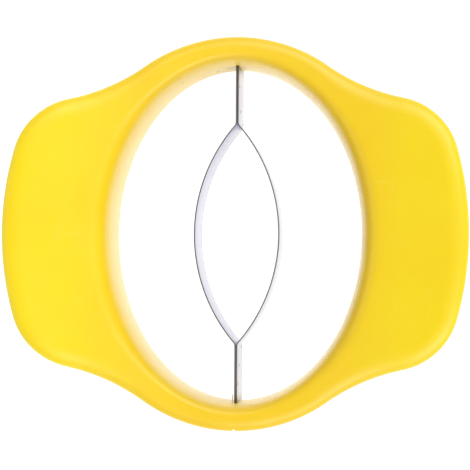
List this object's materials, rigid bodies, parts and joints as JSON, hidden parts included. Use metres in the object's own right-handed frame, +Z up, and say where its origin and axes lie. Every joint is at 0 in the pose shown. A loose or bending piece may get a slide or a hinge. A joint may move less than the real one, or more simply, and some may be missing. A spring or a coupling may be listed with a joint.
{
  "type": "mango splitter",
  "caption": "Press-down mango splitter: an oval plastic ring with two raised wing handles and a steel almond-shaped stone cutter across its opening.",
  "frame": {"origin": "middle of the flat resting rim, at the bottom of the part", "axes": "+X along the wing handles, +Y along the steel strips, +Z up towards the palms"},
  "size_m": [0.175, 0.149, 0.045],
  "materials": {
    "yellow_plastic": "smooth moulded plastic, soft gloss",
    "blade_steel": "rolled stainless strip, ground edge"
  },
  "bodies": {
    "root": {"upper_shell": "yellow_plastic", "lower_shell": "yellow_plastic", "blade_left": "blade_steel", "blade_right": "blade_steel"}
  },
  "joints": []
}
